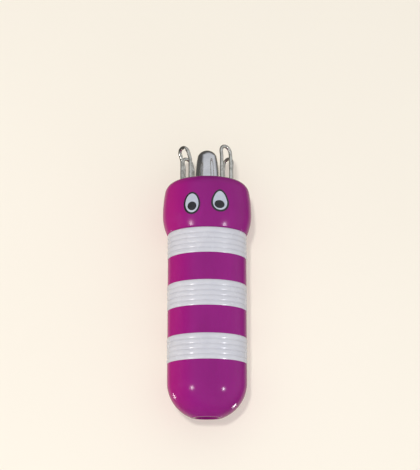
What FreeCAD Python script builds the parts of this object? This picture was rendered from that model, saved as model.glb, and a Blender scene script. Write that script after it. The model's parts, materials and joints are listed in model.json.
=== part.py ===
import FreeCAD, Part
import math
import os
import re
import Sketcher

# Hand cord knitter: a banded barrel with a head, four wire loops and a stitch pick.
# Every piece is drawn upright, axis along +Z, eyes towards -Y, the round end's lowest level at Z = 0.
# One shared placement then lays the whole on its back: loops towards +Y, eyes upwards.

Vector = FreeCAD.Vector

# Driving sizes in millimetres
SIZES = {
    # Barrel and its grip rings
    "barrel_radius": 13.4,
    "barrel_wall": 2.8,
    "end_bend": 12.5,
    "foot_length": 6.1,
    "ring_height": 8.6,
    "ring_gap": 9.3,
    "ring_seat_depth": 0.8,
    "rib_rise": 0.16,
    "rib_count": 5,
    "neck_length": 5.0,
    "neck_wall": 1.2,
    # Head
    "head_height": 18.4,
    "head_overhang": 1.8,
    "lip_overhang": 0.2,
    "belly_height": 7.0,
    "upper_bend": 45.0,
    "leg_hole_overlap": 0.165,
    "lip_bend": 0.8,
    "top_plate": 3.0,
    # Cord passage
    "mouth_radius": 4.5,
    "mouth_round": 0.5,
    "guide_wall": 1.0,
    "exit_radius": 4.0,
    "exit_length": 6.0,
    "exit_rise": 0.2,
    "exit_round": 0.5,
    "socket_wall": 1.5,
    "socket_length": 4.0,
    # Wire loops
    "wire_radius": 0.6,
    "loop_circle": 9.7,
    "first_loop_angle": 222.5,
    "loop_spacing": 4.2,
    "front_left_loop_height": 11.4,
    "front_right_loop_height": 12.2,
    "back_right_loop_height": 11.7,
    "back_left_loop_height": 12.0,
    "front_left_crown_offset": 1.6,
    "front_right_crown_offset": -0.5,
    "back_right_crown_offset": 0.3,
    "back_left_crown_offset": 1.0,
    "crown_length": 4.0,
    "crown_bend": 3.0,
    "leg_depth": 8.0,
    "boss_wall": 1.4,
    "boss_round": 1.5,
    "boss_floor": 1.0,
    # Eyes
    "inlay_depth": 0.4,
    "inlay_rise": 0.12,
    "eye_border": 0.6,
    "left_eye_side": 5.05,
    "left_eye_lift": 7.95,
    "left_eye_width": 4.35,
    "left_eye_height": 6.45,
    "left_eye_taper": 0.1,
    "left_pupil_side": 5.03,
    "left_pupil_lift": 6.86,
    "left_pupil_width": 3.0,
    "left_pupil_height": 3.0,
    "right_eye_side": 4.37,
    "right_eye_lift": 8.77,
    "right_eye_width": 4.6,
    "right_eye_height": 6.54,
    "right_eye_taper": 0.26,
    "right_pupil_side": 4.2,
    "right_pupil_lift": 7.4,
    "right_pupil_width": 3.4,
    "right_pupil_height": 2.8,
    # Stitch pick
    "flange_radius": 5.6,
    "flange_height": 1.0,
    "flange_round": 0.5,
    "knob_height": 12.1,
    "knob_foot_radius": 4.2,
    "knob_neck_radius": 3.3,
    "knob_dome_height": 2.2,
    "knob_bend": 60.0,
    "plug_length": 3.0,
    "plug_gap": 0.3,
    "needle_radius": 1.0,
    "needle_seat": 4.0,
    "needle_reach": 42.0,
    "tip_length": 6.0,
    "tip_radius": 0.35,
}

# Places worked out from those sizes, as formulas
SEAT_RADIUS = "(barrel_radius - ring_seat_depth)"
INNER_RADIUS = "(barrel_radius - barrel_wall)"
NECK_RADIUS = f"({INNER_RADIUS} + neck_wall)"
RING_BASE = {
    "lower": "(end_bend + foot_length)",
    "middle": "(end_bend + foot_length + ring_height + ring_gap)",
    "upper": "(end_bend + foot_length + 2 * ring_height + 2 * ring_gap)",
}
HEAD_RADIUS = "(barrel_radius + head_overhang)"
HEAD_BASE = f"({RING_BASE['upper']} + ring_height)"
HEAD_TOP = f"({HEAD_BASE} + head_height)"
PLATE_UNDERSIDE = f"({HEAD_TOP} - top_plate)"
TUCK = "(head_overhang - lip_overhang)"
LOWER_BEND = f"((belly_height^2 + {TUCK}^2) / (2 * {TUCK}))"
# The flat top ends just inside the far side of the leg holes
FLAT_RADIUS = "(sqrt(loop_circle^2 + (loop_spacing / 2)^2) + wire_radius - leg_hole_overlap)"
RISE = "(head_height - belly_height)"
SPREAD = f"({FLAT_RADIUS} - {HEAD_RADIUS} + upper_bend)"
# The bend of the shoulder that touches both the flat top and the arc of the head's side
SHOULDER_BEND = f"((upper_bend^2 - {RISE}^2 - {SPREAD}^2) / (2 * (upper_bend - {RISE})))"
GUIDE_RADIUS = "(mouth_radius + guide_wall)"
SOCKET_RADIUS = f"({GUIDE_RADIUS} + socket_wall)"
END_CENTRE = "(barrel_radius - end_bend)"
HOLE_BASE = f"(end_bend - sqrt(end_bend^2 - ({GUIDE_RADIUS} - {END_CENTRE})^2))"

# Loops in their order round the axis
LOOP_PLACES = ("front_left", "front_right", "back_right", "back_left")

doc = FreeCAD.newDocument("cord_knitter")
sheet = doc.addObject("Spreadsheet::Sheet", "Sizes")
for row, (alias, number) in enumerate(SIZES.items(), start=1):
    sheet.set(f"A{row}", alias)
    sheet.set(f"B{row}", str(number))
    sheet.setAlias(f"B{row}", alias)
doc.recompute()


def bound(formula):
    """The formula with each size's name pointing at its cell."""
    return re.sub(r"[a-z_]+", lambda word: f"Sizes.{word[0]}" if word[0] in SIZES else word[0], formula)


def value(formula):
    """The number that the formula has now."""
    return float(sheet.evalExpression(bound(formula)))


def origin_part(body, role):
    return next(part for part in body.Origin.OriginFeatures if part.Role == role)


def new_body(name):
    body = doc.addObject("PartDesign::Body", name)
    body.Label = name
    return body


def new_sketch(body, name, role, lift="0", turn="0"):
    """A sketch on one of the body's origin planes, lifted along and turned about its normal."""
    sketch = body.newObject("Sketcher::SketchObject", name)
    sketch.AttachmentSupport = [(origin_part(body, role), "")]
    sketch.MapMode = "FlatFace"
    sketch.AttachmentOffset = FreeCAD.Placement(
        Vector(0, 0, value(lift)), FreeCAD.Rotation(Vector(0, 0, 1), value(turn))
    )
    sketch.setExpression("AttachmentOffset.Base.z", bound(lift))
    sketch.setExpression("AttachmentOffset.Rotation.Angle", bound(turn))
    return sketch


def tie(sketch, constraint, name, formula):
    """Adds a named dimension that follows the formula."""
    index = sketch.addConstraint(constraint)
    sketch.renameConstraint(index, name)
    sketch.setExpression(f"Constraints.{name}", bound(formula))


def arc_between(start, end, radius, turn):
    """The short arc from start to end; turn is 1 to the left and -1 to the right."""
    chord = end - start
    left = Vector(-chord.y, chord.x, 0).normalize()
    reach = math.sqrt(max(radius**2 - (chord.Length / 2) ** 2, 0))
    centre = (start + end) / 2 + left * reach * turn
    first, last = (start, end) if turn > 0 else (end, start)
    first_angle = math.atan2(first.y - centre.y, first.x - centre.x)
    last_angle = math.atan2(last.y - centre.y, last.x - centre.x)
    circle = Part.Circle(centre, Vector(0, 0, 1), radius)
    return Part.ArcOfCircle(circle, first_angle, last_angle)


def draw_outline(sketch, corners):
    """Draws a closed outline through the corners, each tied to the sheet.

    A corner is (across, up), or (across, up, bend, turn) where an arc leads to the next one.
    """
    points = [Vector(value(corner[0]), value(corner[1]), 0) for corner in corners]
    ends = []
    for index, corner in enumerate(corners):
        start = points[index]
        end = points[(index + 1) % len(points)]
        if len(corner) == 2:
            side = sketch.addGeometry(Part.LineSegment(start, end), False)
            ends.append((side, 1, 2))
            continue
        bend, turn = corner[2:]
        side = sketch.addGeometry(arc_between(start, end, value(bend), turn), False)
        ends.append((side, 1, 2) if turn > 0 else (side, 2, 1))
    for index, (side, first, last) in enumerate(ends):
        next_side, next_first, _ = ends[(index + 1) % len(ends)]
        sketch.addConstraint(Sketcher.Constraint("Coincident", side, last, next_side, next_first))
    for index, corner in enumerate(corners):
        side, first, _ = ends[index]
        if corner[0] == "0":
            sketch.addConstraint(Sketcher.Constraint("PointOnObject", side, first, -2))
        else:
            across = Sketcher.Constraint("DistanceX", -1, 1, side, first, points[index].x)
            tie(sketch, across, f"across_{index}", corner[0])
        up = Sketcher.Constraint("DistanceY", -1, 1, side, first, points[index].y)
        tie(sketch, up, f"up_{index}", corner[1])
        if len(corner) > 2:
            bend = Sketcher.Constraint("Radius", side, value(corner[2]))
            tie(sketch, bend, f"bend_{index}", corner[2])


def turned_body(name, corners):
    """A body turned about the axis from half of its section."""
    body = new_body(name)
    sketch = new_sketch(body, f"{name}_section", "XZ_Plane")
    draw_outline(sketch, corners)
    turning = body.newObject("PartDesign::Revolution", f"{name}_turning")
    turning.Profile = sketch
    turning.ReferenceAxis = (sketch, ["V_Axis"])
    turning.Angle = 360
    return body


def barrel():
    """Tube with a round end, three seats for the grip rings and a neck that enters the head."""
    inner_bend = "(end_bend - barrel_wall)"
    socket_base = f"(end_bend - sqrt({inner_bend}^2 - ({SOCKET_RADIUS} - {END_CENTRE})^2))"
    socket_top = f"({socket_base} + socket_length)"
    neck_top = f"({HEAD_BASE} + neck_length)"
    corners = [
        (GUIDE_RADIUS, HOLE_BASE, "end_bend", 1),
        ("barrel_radius", "end_bend"),
    ]
    for place in ("lower", "middle"):
        corners += [
            ("barrel_radius", RING_BASE[place]),
            (SEAT_RADIUS, RING_BASE[place]),
            (SEAT_RADIUS, f"{RING_BASE[place]} + ring_height"),
            ("barrel_radius", f"{RING_BASE[place]} + ring_height"),
        ]
    corners += [
        ("barrel_radius", RING_BASE["upper"]),
        (SEAT_RADIUS, RING_BASE["upper"]),
        (SEAT_RADIUS, HEAD_BASE),
        (NECK_RADIUS, HEAD_BASE),
        (NECK_RADIUS, neck_top),
        (INNER_RADIUS, neck_top),
        (INNER_RADIUS, "end_bend", inner_bend, -1),
        (SOCKET_RADIUS, socket_base),
        (SOCKET_RADIUS, socket_top),
        (GUIDE_RADIUS, socket_top),
    ]
    return turned_body("barrel", corners)


def grip_ring(place):
    """Soft sleeve in a seat of the barrel, with rounded ribs side by side all round it."""
    base = RING_BASE[place]
    rib_pitch = "(ring_height / rib_count)"
    rib_bend = f"((({rib_pitch} / 2)^2 + rib_rise^2) / (2 * rib_rise))"
    corners = [(SEAT_RADIUS, base)]
    for rib in range(round(value("rib_count"))):
        corners.append(("barrel_radius", f"{base} + {rib} * {rib_pitch}", rib_bend, 1))
    corners += [
        ("barrel_radius", f"{base} + ring_height"),
        (SEAT_RADIUS, f"{base} + ring_height"),
    ]
    return turned_body(f"{place}_grip_ring", corners)


def guide_tube():
    """Inner tube that leads the finished cord from the mouth to the narrower exit."""
    end = f"({HOLE_BASE} - exit_rise)"
    narrowing = "(mouth_radius - exit_radius)"
    corners = [
        ("exit_radius", end),
        (f"{GUIDE_RADIUS} - exit_round", end, "exit_round", 1),
        (GUIDE_RADIUS, f"{end} + exit_round"),
        (GUIDE_RADIUS, PLATE_UNDERSIDE),
        ("mouth_radius", PLATE_UNDERSIDE),
        ("mouth_radius", f"{end} + exit_length + 2 * {narrowing}"),
        ("exit_radius", f"{end} + exit_length"),
    ]
    return turned_body("guide_tube", corners)


def head_form():
    """Head with its rounded outline, socket for the guide tube and four bosses with leg holes."""
    belly_up = f"({HEAD_BASE} + belly_height)"

    def offset(bend, up, side):
        """How far the centre of an arc that touches the side's arc lies outwards of that arc's centre."""
        return f"sqrt(({side} - {bend})^2 - ({up} - {belly_up})^2)"

    def centre_across(bend, up, side):
        return f"{HEAD_RADIUS} - {side} + {offset(bend, up, side)}"

    def touching_point(bend, up, side):
        """Where an arc of this bend, centred at this height, touches the side's arc from inside."""
        share = f"{side} / ({side} - {bend})"
        across = f"{HEAD_RADIUS} - {side} + {offset(bend, up, side)} * {share}"
        return across, f"{belly_up} + ({up} - {belly_up}) * {share}"

    shoulder_up = f"({HEAD_TOP} - {SHOULDER_BEND})"
    lip_up = f"({HEAD_BASE} + lip_bend)"
    corners = [
        ("mouth_radius", f"{HEAD_TOP} - mouth_round"),
        ("mouth_radius", PLATE_UNDERSIDE),
        (GUIDE_RADIUS, PLATE_UNDERSIDE),
        (GUIDE_RADIUS, f"{PLATE_UNDERSIDE} - socket_length"),
        (SOCKET_RADIUS, f"{PLATE_UNDERSIDE} - socket_length"),
        (SOCKET_RADIUS, PLATE_UNDERSIDE),
        (NECK_RADIUS, PLATE_UNDERSIDE),
        (NECK_RADIUS, HEAD_BASE),
        (centre_across("lip_bend", lip_up, LOWER_BEND), HEAD_BASE, "lip_bend", 1),
        (*touching_point("lip_bend", lip_up, LOWER_BEND), LOWER_BEND, 1),
        (HEAD_RADIUS, belly_up, "upper_bend", 1),
        (*touching_point(SHOULDER_BEND, shoulder_up, "upper_bend"), SHOULDER_BEND, 1),
        (FLAT_RADIUS, HEAD_TOP),
        ("mouth_radius + mouth_round", HEAD_TOP, "mouth_round", 1),
    ]
    body = turned_body("head_form", corners)
    half = "loop_spacing / 2"
    near = "(loop_circle - wire_radius - boss_wall)"
    far = "(loop_circle + wire_radius + boss_wall)"
    side = f"({half} + wire_radius + boss_wall)"
    boss_sketch = new_sketch(body, "boss_outline", "XY_Plane", PLATE_UNDERSIDE, "first_loop_angle")
    draw_outline(boss_sketch, [
        (f"{near} + boss_round", f"-{side}"),
        (f"{far} - boss_round", f"-{side}", "boss_round", 1),
        (far, f"boss_round - {side}"),
        (far, f"{side} - boss_round", "boss_round", 1),
        (f"{far} - boss_round", side),
        (f"{near} + boss_round", side, "boss_round", 1),
        (near, f"{side} - boss_round"),
        (near, f"boss_round - {side}", "boss_round", 1),
    ])
    boss = body.newObject("PartDesign::Pad", "boss")
    boss.Profile = boss_sketch
    boss.Reversed = True
    boss.setExpression("Length", bound("leg_depth + boss_floor - top_plate"))
    around(body, boss, "bosses")
    hole_sketch = new_sketch(body, "leg_holes_outline", "XY_Plane", HEAD_TOP, "first_loop_angle")
    for index, across in enumerate((f"-{half}", half)):
        centre = Vector(value("loop_circle"), value(across), 0)
        circle = Part.Circle(centre, Vector(0, 0, 1), value("wire_radius"))
        hole = hole_sketch.addGeometry(circle, False)
        reach = Sketcher.Constraint("DistanceX", -1, 1, hole, 3, centre.x)
        tie(hole_sketch, reach, f"reach_{index}", "loop_circle")
        side = Sketcher.Constraint("DistanceY", -1, 1, hole, 3, centre.y)
        tie(hole_sketch, side, f"side_{index}", across)
        size = Sketcher.Constraint("Radius", hole, value("wire_radius"))
        tie(hole_sketch, size, f"size_{index}", "wire_radius")
    holes = body.newObject("PartDesign::Pocket", "leg_holes")
    holes.Profile = hole_sketch
    holes.setExpression("Length", bound("leg_depth"))
    around(body, holes, "all_leg_holes")
    return body


def around(body, feature, name):
    """Repeats the feature round the axis, once for each loop."""
    pattern = body.newObject("PartDesign::PolarPattern", name)
    pattern.Originals = [feature]
    pattern.Axis = (origin_part(body, "Z_Axis"), [""])
    pattern.Angle = 360
    pattern.Occurrences = len(LOOP_PLACES)
    body.Tip = pattern


def loop_shape(place):
    """Staple of wire with both legs in the head and its crown bent outwards or inwards."""
    half = value("loop_spacing / 2")
    wire_radius = value("wire_radius")
    across = value("loop_circle")
    foot = value(f"{HEAD_TOP} - leg_depth")
    offset = value(f"{place}_crown_offset")
    crown_length = value("crown_length")
    bend_up = value(f"{HEAD_TOP} + {place}_loop_height - wire_radius - crown_length")
    lean = math.atan2(offset, crown_length)
    cut_back = value("crown_bend") * math.tan(abs(lean) / 2)
    along = Vector(math.sin(lean), 0, math.cos(lean))
    straight = math.hypot(offset, crown_length) - half

    def leg(side):
        """The leg's straight and bent edges from its foot up, and its top end."""
        corner = Vector(across, side, bend_up)
        low = corner - Vector(0, 0, cut_back)
        high = corner + along * cut_back
        top = corner + along * straight
        edges = [Part.LineSegment(Vector(across, side, foot), low).toShape()]
        if lean:
            centre = low + Vector(math.copysign(value("crown_bend"), lean), 0, 0)
            middle = centre + (corner - centre).normalize() * value("crown_bend")
            edges.append(Part.Arc(low, middle, high).toShape())
        edges.append(Part.LineSegment(high, top).toShape())
        return edges, top

    edges_a, top_a = leg(-half)
    edges_b, top_b = leg(half)
    summit = (top_a + top_b) / 2 + along * half
    spine = Part.Wire([*edges_a, Part.Arc(top_a, summit, top_b).toShape(), *reversed(edges_b)])
    section = Part.Circle(Vector(across, -half, foot), Vector(0, 0, 1), wire_radius)
    return spine.makePipeShell([Part.Wire(section.toShape())], True, False)


def skin_shape():
    """Thin shell through the belly of the head in which the eyes lie."""
    belly_up = value(f"{HEAD_BASE} + belly_height")
    low = value(f"{HEAD_BASE} + lip_bend")
    high = value(f"{HEAD_TOP} - {SHOULDER_BEND}")

    def point(rise, bend, up):
        """A point of the head's outline at this height, raised by so much."""
        across = value(HEAD_RADIUS) - bend + math.sqrt((bend + rise) ** 2 - (up - belly_up) ** 2)
        return Vector(across, 0, up)

    def arc(rise, bend, start, end):
        ways = [point(rise, bend, up) for up in (start, (start + end) / 2, end)]
        return Part.Arc(*ways).toShape()

    def side(rise):
        return [
            arc(rise, value(LOWER_BEND), low, belly_up),
            arc(rise, value("upper_bend"), belly_up, high),
        ]

    outer = side(value("inlay_rise"))
    inner = side(-value("inlay_depth"))
    top_edge = Part.LineSegment(outer[1].lastVertex().Point, inner[1].lastVertex().Point).toShape()
    bottom_edge = Part.LineSegment(inner[0].firstVertex().Point, outer[0].firstVertex().Point).toShape()
    section = Part.Wire([*outer, top_edge, *reversed(inner), bottom_edge])
    return Part.Face(section).revolve(Vector(0, 0, 0), Vector(0, 0, 1), 360)


def egg_prism(side, lift, width, height, taper):
    """Bar with an egg outline, narrower at the top, from the axis out through the front."""
    points = []
    corner_count = 12
    for index in range(corner_count):
        angle = 2 * math.pi * index / corner_count
        across = width / 2 * math.cos(angle) * (1 - taper * math.sin(angle))
        points.append(Vector(side + across, 0, lift + height / 2 * math.sin(angle)))
    curve = Part.BSplineCurve()
    curve.interpolate(points, PeriodicFlag=True)
    face = Part.Face(Part.Wire(curve.toShape()))
    return face.extrude(Vector(0, -2 * value(HEAD_RADIUS), 0))


def eye_shapes(name, sign, skin):
    """Outline, white and pupil of one eye, and the recess for them."""
    side = sign * value(f"{name}_eye_side")
    lift = value(f"{HEAD_BASE} + {name}_eye_lift")
    width = value(f"{name}_eye_width")
    height = value(f"{name}_eye_height")
    taper = value(f"{name}_eye_taper")
    border = 2 * value("eye_border")
    whole = skin.common(egg_prism(side, lift, width + border, height + border, taper))
    white_bar = egg_prism(side, lift, width, height, taper)
    pupil_bar = egg_prism(
        sign * value(f"{name}_pupil_side"),
        value(f"{HEAD_BASE} + {name}_pupil_lift"),
        value(f"{name}_pupil_width"),
        value(f"{name}_pupil_height"),
        0,
    )
    white = whole.common(white_bar)
    return {
        f"{name}_eye_outline": whole.cut(white_bar),
        f"{name}_eye_white": white.cut(pupil_bar),
        f"{name}_pupil": white.common(pupil_bar),
    }, whole


def add_shape(name, shape):
    """A piece whose shape comes from curves that no sketch feature makes."""
    piece = doc.addObject("Part::Feature", name)
    piece.Label = name
    solids = shape.Solids
    piece.Shape = solids[0] if len(solids) == 1 else shape
    return piece


def head_shell(form, recesses):
    """The head with the eyes' recesses cut into its front."""
    tool = doc.addObject("Part::Feature", "eye_recesses")
    tool.Shape = Part.makeCompound(recesses)
    shell = doc.addObject("Part::Cut", "head_shell")
    shell.Label = "head_shell"
    shell.Base = form
    shell.Tool = tool
    return shell


def pick_knob():
    """Bullet-shaped knob with a flange on the head, a plug in the mouth and a hole for the needle."""
    plug_radius = "(mouth_radius - plug_gap)"
    plug_base = f"({HEAD_TOP} - plug_length)"
    flange_top = f"({HEAD_TOP} + flange_height)"
    dome_base = f"({HEAD_TOP} + knob_height - knob_dome_height)"
    dome_bend = "((knob_neck_radius^2 + knob_dome_height^2) / (2 * knob_dome_height))"
    hole_top = f"({HEAD_TOP} + needle_seat)"
    corners = [
        ("0", hole_top),
        ("needle_radius", hole_top),
        ("needle_radius", plug_base),
        (plug_radius, plug_base),
        (plug_radius, HEAD_TOP),
        ("flange_radius", HEAD_TOP),
        ("flange_radius", f"{flange_top} - flange_round", "flange_round", 1),
        ("flange_radius - flange_round", flange_top),
        ("knob_foot_radius", flange_top, "knob_bend", 1),
        ("knob_neck_radius", dome_base, dome_bend, 1),
        ("0", f"{HEAD_TOP} + knob_height"),
    ]
    return turned_body("pick_knob", corners)


def pick_needle():
    """Steel needle that lifts stitches over the loops, stored inside the guide tube."""
    end = f"({HEAD_TOP} - needle_reach)"
    seat = f"({HEAD_TOP} + needle_seat)"
    corners = [
        ("0", end, "tip_radius", 1),
        ("tip_radius", f"{end} + tip_radius"),
        ("needle_radius", f"{end} + tip_length"),
        ("needle_radius", seat),
        ("0", seat),
    ]
    return turned_body("pick_needle", corners)


def resting_placement():
    """Turns the upright model onto its back, centred over the origin, lowest point on the floor."""
    loop_heights = [f"{place}_loop_height" for place in LOOP_PLACES]
    tallest = "; ".join([*loop_heights, "knob_height"])
    low_end = value(f"{HOLE_BASE} - exit_rise")
    high_end = value(f"{HEAD_TOP} + max({tallest})")
    middle = (low_end + high_end) / 2
    turn = FreeCAD.Rotation(Vector(1, 0, 0), -90)
    return FreeCAD.Placement(Vector(0, -middle, value(HEAD_RADIUS)), turn)


def check_document():
    for item in doc.Objects:
        if "Invalid" in item.State or "Error" in item.State:
            raise RuntimeError(f"{item.Label} did not compute")


skin = skin_shape()
left_eye, left_recess = eye_shapes("left", -1, skin)
right_eye, right_recess = eye_shapes("right", 1, skin)
form = head_form()
laid = resting_placement()
pieces = [barrel(), guide_tube(), head_shell(form, [left_recess, right_recess])]
pieces += [grip_ring(place) for place in RING_BASE]
pieces += [add_shape(name, shape) for name, shape in {**left_eye, **right_eye}.items()]
pieces += [pick_knob(), pick_needle()]
for piece in pieces:
    piece.Placement = laid
for index, place in enumerate(LOOP_PLACES):
    angle = value("first_loop_angle") + 360 * index / len(LOOP_PLACES)
    piece = add_shape(f"{place}_loop", loop_shape(place))
    piece.Placement = laid * FreeCAD.Placement(Vector(), FreeCAD.Rotation(Vector(0, 0, 1), angle))
    pieces.append(piece)
doc.recompute()
check_document()

os.makedirs("parts", exist_ok=True)
for piece in pieces:
    if piece.Shape.isNull() or not piece.Shape.isValid():
        raise RuntimeError(f"{piece.Label} has no valid shape")
    print(f"{piece.Label}: {len(piece.Shape.Solids)} solid, {piece.Shape.Volume:.2f} mm3")
for piece in pieces:
    piece.Shape.exportStep(f"parts/{piece.Label}.step")
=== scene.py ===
import json
import math

import bpy
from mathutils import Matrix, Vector


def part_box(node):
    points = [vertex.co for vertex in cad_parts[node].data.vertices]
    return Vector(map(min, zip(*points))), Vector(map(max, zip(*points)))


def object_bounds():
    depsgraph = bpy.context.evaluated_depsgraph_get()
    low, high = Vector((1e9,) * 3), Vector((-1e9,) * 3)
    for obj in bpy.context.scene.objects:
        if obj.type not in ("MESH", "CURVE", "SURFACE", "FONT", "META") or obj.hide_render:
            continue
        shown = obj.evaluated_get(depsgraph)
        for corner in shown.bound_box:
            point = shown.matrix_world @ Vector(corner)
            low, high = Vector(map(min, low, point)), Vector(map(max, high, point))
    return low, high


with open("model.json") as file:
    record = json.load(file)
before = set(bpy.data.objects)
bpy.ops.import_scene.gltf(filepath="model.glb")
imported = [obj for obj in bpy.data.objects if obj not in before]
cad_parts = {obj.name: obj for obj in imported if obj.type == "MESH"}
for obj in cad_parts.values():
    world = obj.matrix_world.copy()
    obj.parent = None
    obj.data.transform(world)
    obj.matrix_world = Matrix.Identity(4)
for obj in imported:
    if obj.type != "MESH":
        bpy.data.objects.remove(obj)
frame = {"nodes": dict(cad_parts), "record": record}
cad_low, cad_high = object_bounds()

# Hand cord knitter lying on its back: axis along +Y, loops towards +Y, eyes up.

MM = 0.001
head_low, head_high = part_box("head_shell")
barrel_low, barrel_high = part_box("barrel")
ring_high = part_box("middle_grip_ring")[1]
axis_height = (head_low.z + head_high.z) / 2
barrel_radius = (barrel_high.x - barrel_low.x) / 2

# The photograph's frame and the camera that took it
PHOTO_WIDTH = 420
PHOTO_HEIGHT = 470
SENSOR = 36.0
FOCAL_PIXELS = 1432
AXIS_PIXEL_X = 207.0
CAMERA_ABOVE_AXIS = 477 * MM
CAMERA_BELOW_END = 54.3 * MM
CAMERA_TILT = math.radians(13.78)

# Colours of the lamps
NEUTRAL = (1.0, 0.99, 0.98)
WARM = (1.0, 0.97, 0.95)
WARMER = (1.0, 0.95, 0.93)
COOL = (0.96, 0.97, 1.0)

# Where a colour Mix node keeps its colours
MIX_A = 6
MIX_B = 7
MIX_RESULT = 2


def node_helpers(tree):
    """Helpers that add a node to the tree, with its settings and inputs, and link two sockets."""

    def add(kind, **settings):
        node = tree.nodes.new(kind)
        for key, setting in settings.items():
            if hasattr(node, key):
                setattr(node, key, setting)
            else:
                node.inputs[key.replace("_", " ")].default_value = setting
        return node

    return add, tree.links.new


def new_material(name):
    """A node material, its shader, and the helpers that add and link nodes."""
    material = bpy.data.materials.new(name)
    material.use_nodes = True
    shader = material.node_tree.nodes["Principled BSDF"]
    return material, shader, *node_helpers(material.node_tree)


def set_inputs(node, values):
    for socket, value in values.items():
        node.inputs[socket].default_value = value


def ramp(add, link, source, low, high, start, end):
    """The source's range start to end as a blend between two linear colours."""
    node = add("ShaderNodeValToRGB")
    first, last = node.color_ramp.elements
    first.position = start
    last.position = end
    first.color = (*low, 1)
    last.color = (*high, 1)
    link(source, node.inputs["Fac"])
    return node.outputs["Color"]


def remap(add, link, source, low, high, start, end, smooth=False):
    """The source's range start to end, mapped to low to high, with soft ends where it is smooth."""
    node = add("ShaderNodeMapRange", interpolation_type="SMOOTHSTEP" if smooth else "LINEAR")
    set_inputs(node, {"From Min": start, "From Max": end, "To Min": low, "To Max": high})
    link(source, node.inputs["Value"])
    return node.outputs["Result"]


def mix(add, link, factor, low, high, blend="MIX"):
    """Blends two colours, each of them a tuple or a socket, by the factor."""
    node = add("ShaderNodeMix", data_type="RGBA", blend_type=blend)
    link(factor, node.inputs["Factor"])
    for index, colour in ((MIX_A, low), (MIX_B, high)):
        if isinstance(colour, tuple):
            node.inputs[index].default_value = (*colour, 1)
        else:
            link(colour, node.inputs[index])
    return node.outputs[MIX_RESULT]


def noise(add, link, place, per_metre, detail, stretch=(1, 1, 1)):
    """Noise in object space, so many features to the metre, stretched along the row's axes."""
    mapping = add("ShaderNodeMapping", Scale=stretch)
    link(place, mapping.inputs["Vector"])
    node = add("ShaderNodeTexNoise", Scale=per_metre, Detail=detail)
    link(mapping.outputs["Vector"], node.inputs["Vector"])
    return node.outputs["Fac"]


def object_place(add):
    return add("ShaderNodeTexCoord").outputs["Object"]


def axis_distance(add, link, place):
    """Distance from the barrel's axis, in metres."""
    move = add("ShaderNodeMapping", Location=(0, 0, -axis_height), Scale=(1, 0, 1))
    link(place, move.inputs["Vector"])
    length = add("ShaderNodeVectorMath", operation="LENGTH")
    link(move.outputs["Vector"], length.inputs[0])
    return length.outputs["Value"]


def bump(add, link, shader, height, depth, under=None):
    """Raises the surface, or the bump under this one, by the height times the depth in metres."""
    node = add("ShaderNodeBump", Strength=1.0, Distance=depth)
    link(height, node.inputs["Height"])
    if under:
        link(under.outputs["Normal"], node.inputs["Normal"])
    link(node.outputs["Normal"], shader.inputs["Normal"])
    return node


def purple_plastic():
    """Glossy moulded plastic, with painted light reddening its left side, a faint flow pattern, smears
    and scuffs.
    """
    material, shader, add, link = new_material("purple_plastic")
    place = object_place(add)
    flow = noise(add, link, place, 90, detail=4.0, stretch=(1, 0.35, 1))
    purple = ramp(add, link, flow, (0.238, 0.010, 0.165), (0.278, 0.013, 0.195), 0.3, 0.7)
    across = add("ShaderNodeSeparateXYZ")
    link(place, across.inputs["Vector"])
    # Painted light: the colour turns redder towards the left side, standing in for warm light falling
    # from the left.
    painted_light_span = (-1.05 * barrel_radius, -0.2 * barrel_radius)
    painted_light_left = remap(add, link, across.outputs["X"], 1.0, 0.0, *painted_light_span, smooth=True)
    painted_lit_magenta = (0.36, 0.010, 0.175)
    link(mix(add, link, painted_light_left, purple, painted_lit_magenta), shader.inputs["Base Color"])
    smears = noise(add, link, place, 160, detail=5.0, stretch=(1, 0.5, 1))
    link(remap(add, link, smears, 0.14, 0.24, 0.35, 0.7), shader.inputs["Roughness"])
    scuffs = noise(add, link, place, 1500, detail=2.0, stretch=(1, 0.15, 1))
    bump(add, link, shader, scuffs, 0.003 * MM)
    set_inputs(shader, {
        "IOR": 1.46,
        "Specular IOR Level": 0.25,
        "Subsurface Weight": 0.15,
        "Subsurface Radius": (1.0, 0.25, 0.6),
        "Subsurface Scale": 2 * MM,
    })
    return material


def grip_rubber():
    """Smooth white elastomer with fuller ribs, and painted shade that darkens its grooves a little."""
    material, shader, add, link = new_material("grip_rubber")
    place = object_place(add)
    distance = axis_distance(add, link, place)
    groove_to_crest = (barrel_radius, ring_high.x)
    mottled = noise(add, link, place, 220, detail=4.0)
    rubber_tone = ramp(add, link, mottled, (0.56, 0.56, 0.60), (0.61, 0.61, 0.64), 0.3, 0.7)
    # Painted shade: the colour darkens a little towards the grooves between the ribs.
    groove_shade_mask = remap(add, link, distance, 1.0, 0.0, *groove_to_crest)
    groove_shade_tint = (0.96, 0.955, 0.96)
    link(mix(add, link, groove_shade_mask, rubber_tone, groove_shade_tint, "MULTIPLY"), shader.inputs["Base Color"])
    smears = noise(add, link, place, 300, detail=4.0)
    link(remap(add, link, smears, 0.20, 0.30, 0.35, 0.7), shader.inputs["Roughness"])
    crest = remap(add, link, distance, 0.0, 1.0, *groove_to_crest)
    swell = bump(add, link, shader, crest, 0.03 * MM)
    grain = noise(add, link, place, 2500, detail=2.0)
    bump(add, link, shader, grain, 0.004 * MM, under=swell)
    set_inputs(shader, {
        "IOR": 1.46,
        "Subsurface Weight": 0.15,
        "Subsurface Radius": (1.0, 0.9, 0.8),
        "Subsurface Scale": 1.5 * MM,
    })
    return material


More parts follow.
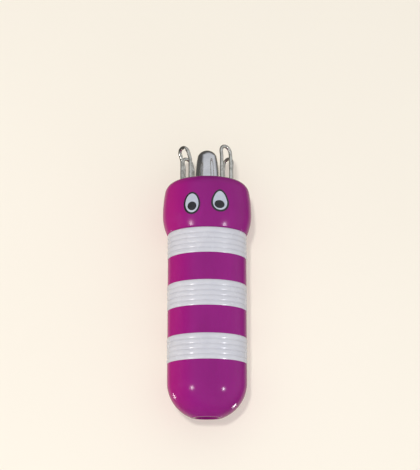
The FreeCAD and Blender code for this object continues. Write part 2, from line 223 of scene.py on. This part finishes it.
def bright_wire():
    """Nickel-plated wire with drawing marks along it and worn, darker spots."""
    material, shader, add, link = new_material("loop_wire")
    place = object_place(add)
    spots = noise(add, link, place, 700, detail=4.0)
    colour = ramp(add, link, spots, (0.58, 0.57, 0.51), (0.84, 0.83, 0.76), 0.35, 0.6)
    link(colour, shader.inputs["Base Color"])
    marks = noise(add, link, place, 3000, detail=2.0, stretch=(1, 0.08, 1))
    link(remap(add, link, marks, 0.08, 0.22, 0.3, 0.7), shader.inputs["Roughness"])
    bump(add, link, shader, marks, 0.006 * MM)
    set_inputs(shader, {"Metallic": 1.0})
    return material


def turned_metal(name, dark, light, smooth, rough):
    """Polished metal with faint rings left by the lathe and a few smears."""
    material, shader, add, link = new_material(name)
    place = object_place(add)
    smears = noise(add, link, place, 260, detail=5.0)
    link(ramp(add, link, smears, dark, light, 0.3, 0.65), shader.inputs["Base Color"])
    link(remap(add, link, smears, smooth, rough, 0.3, 0.7), shader.inputs["Roughness"])
    rings = noise(add, link, place, 1500, detail=1.0, stretch=(0.02, 1, 0.02))
    bump(add, link, shader, rings, 0.015 * MM)
    set_inputs(shader, {"Metallic": 1.0})
    return material


def eye_gloss(name, dark, light):
    """Glossy eye inlay with faint clouding and hairline scratches."""
    material, shader, add, link = new_material(name)
    place = object_place(add)
    cloud = noise(add, link, place, 500, detail=4.0)
    link(ramp(add, link, cloud, dark, light, 0.3, 0.7), shader.inputs["Base Color"])
    link(remap(add, link, cloud, 0.12, 0.25, 0.3, 0.7), shader.inputs["Roughness"])
    scratches = noise(add, link, place, 2500, detail=2.0, stretch=(1, 0.1, 1))
    bump(add, link, shader, scratches, 0.003 * MM)
    set_inputs(shader, {"Coat Weight": 0.5, "Coat Roughness": 0.04})
    return material


def dress_nodes():
    """Gives each CAD node its material, by the record's slot names."""
    finishes = {
        "purple_plastic": purple_plastic(),
        "grip_rubber": grip_rubber(),
        "loop_wire": bright_wire(),
        "knob_chrome": turned_metal("knob_chrome", (0.82, 0.82, 0.84), (0.95, 0.95, 0.96), 0.10, 0.22),
        "needle_steel": turned_metal("needle_steel", (0.42, 0.42, 0.43), (0.62, 0.62, 0.62), 0.18, 0.32),
        "eye_white": eye_gloss("eye_white", (0.43, 0.465, 0.53), (0.50, 0.535, 0.60)),
        "eye_black": eye_gloss("eye_black", (0.006, 0.006, 0.008), (0.013, 0.013, 0.016)),
    }
    slots = {part["node"]: part["material_slot"] for part in frame["record"]["subparts"]}
    for name, node in frame["nodes"].items():
        node.data.materials.clear()
        node.data.materials.append(finishes[slots[name]])


def add_floor():
    """Plain pale floor under the object, which the gloss doesn't mirror."""
    half = 6.0
    mesh = bpy.data.meshes.new("floor")
    corners = [(-half, -half, 0), (half, -half, 0), (half, half, 0), (-half, half, 0)]
    mesh.from_pydata(corners, [], [(0, 1, 2, 3)])
    floor = bpy.data.objects.new("floor", mesh)
    bpy.context.scene.collection.objects.link(floor)
    material, shader, add, link = new_material("floor_paint")
    cloud = noise(add, link, object_place(add), 6, detail=3.0)
    colour = ramp(add, link, cloud, (0.88, 0.82, 0.70), (0.90, 0.84, 0.72), 0.3, 0.7)
    link(colour, shader.inputs["Base Color"])
    set_inputs(shader, {"Roughness": 0.7})
    mesh.materials.append(material)
    floor.visible_glossy = False


def add_light(name, direction, distance, size, watts, colour, mirrored=True, shadow=False):
    """A round area light that looks at the middle of the object from a direction."""
    data = bpy.data.lights.new(name, "AREA")
    data.shape = "DISK"
    data.size = size
    data.energy = watts
    data.color = colour
    data.use_shadow = shadow
    light = bpy.data.objects.new(name, data)
    middle = Vector((0, (cad_low.y + cad_high.y) / 2, axis_height))
    way = Vector(direction).normalized()
    light.location = middle + way * distance
    light.rotation_mode = "QUATERNION"
    light.rotation_quaternion = way.to_track_quat("Z", "Y")
    light.visible_glossy = mirrored
    bpy.context.scene.collection.objects.link(light)


def add_lights():
    """The top light alone draws a shadow beside the body.

    Two small lights in front make the paired highlights, and broad ones fill the sides. The rim
    lights edge the round end from below the floor, which stops all their light but the gloss.
    """
    top = {"distance": 1.1, "size": 0.07, "watts": 3.3, "colour": NEUTRAL}
    front = {"distance": 0.9, "size": 0.10, "watts": 1.85}
    side = {"distance": 0.8, "size": 0.4, "mirrored": False}
    rim = {"distance": 0.9, "size": 0.12, "watts": 0.8, "colour": WARM, "shadow": True}
    add_light("top", (-0.10, 0.0, 1.0), **top, mirrored=False, shadow=True)
    add_light("front_left", (-0.65, -0.37, 0.62), **front, colour=WARM)
    add_light("front_right", (0.71, -0.42, 0.55), **front, colour=COOL)
    add_light("side_left", (-1.0, -0.1, 0.15), **side, watts=2.25, colour=WARMER)
    add_light("side_right", (1.0, -0.1, 0.05), **side, watts=0.40, colour=WARM)
    add_light("rim_left", (-0.759, -0.295, -0.581), **rim)
    add_light("rim_right", (0.558, -0.476, -0.68), **rim)


def add_world():
    """A light tent: bright above and to the right, dim to the left, and warm straight below."""
    world = bpy.data.worlds.new("studio")
    world.use_nodes = True
    add, link = node_helpers(world.node_tree)
    outwards = add("ShaderNodeTexCoord").outputs["Generated"]

    def lobe(direction, edge, full):
        """Grows from 0 at so many degrees off the direction to 1 at full."""
        towards = add("ShaderNodeVectorMath", operation="DOT_PRODUCT")
        towards.inputs[1].default_value = Vector(direction).normalized()
        link(outwards, towards.inputs[0])
        limits = (math.cos(math.radians(edge)), math.cos(math.radians(full)))
        return remap(add, link, towards.outputs["Value"], 0.0, 1.0, *limits, smooth=True)

    dim = (0.09, 0.085, 0.08)
    bright = (0.56, 0.57, 0.60)
    warm = (0.55, 0.50, 0.38)
    tent = mix(add, link, lobe((0.477, 0, 0.879), edge=98, full=64), dim, bright)
    whole = mix(add, link, lobe((0, 0, -1), edge=50, full=30), tent, warm)
    link(whole, world.node_tree.nodes["Background"].inputs["Color"])
    bpy.context.scene.world = world


def add_camera():
    """The photograph's camera: high over the round end, tilted towards the loops."""
    data = bpy.data.cameras.new("camera")
    data.sensor_width = SENSOR
    data.lens = FOCAL_PIXELS * SENSOR / PHOTO_HEIGHT
    data.clip_start = 0.01
    data.clip_end = 50
    camera = bpy.data.objects.new("camera", data)
    aside = (PHOTO_WIDTH / 2 - AXIS_PIXEL_X) * CAMERA_ABOVE_AXIS / FOCAL_PIXELS
    camera.location = (aside, cad_low.y - CAMERA_BELOW_END, axis_height + CAMERA_ABOVE_AXIS)
    camera.rotation_euler = (CAMERA_TILT, 0, 0)
    bpy.context.scene.collection.objects.link(camera)
    bpy.context.scene.camera = camera


bpy.context.scene.view_settings.view_transform = "Standard"
dress_nodes()
add_floor()
add_lights()
add_world()
add_camera()
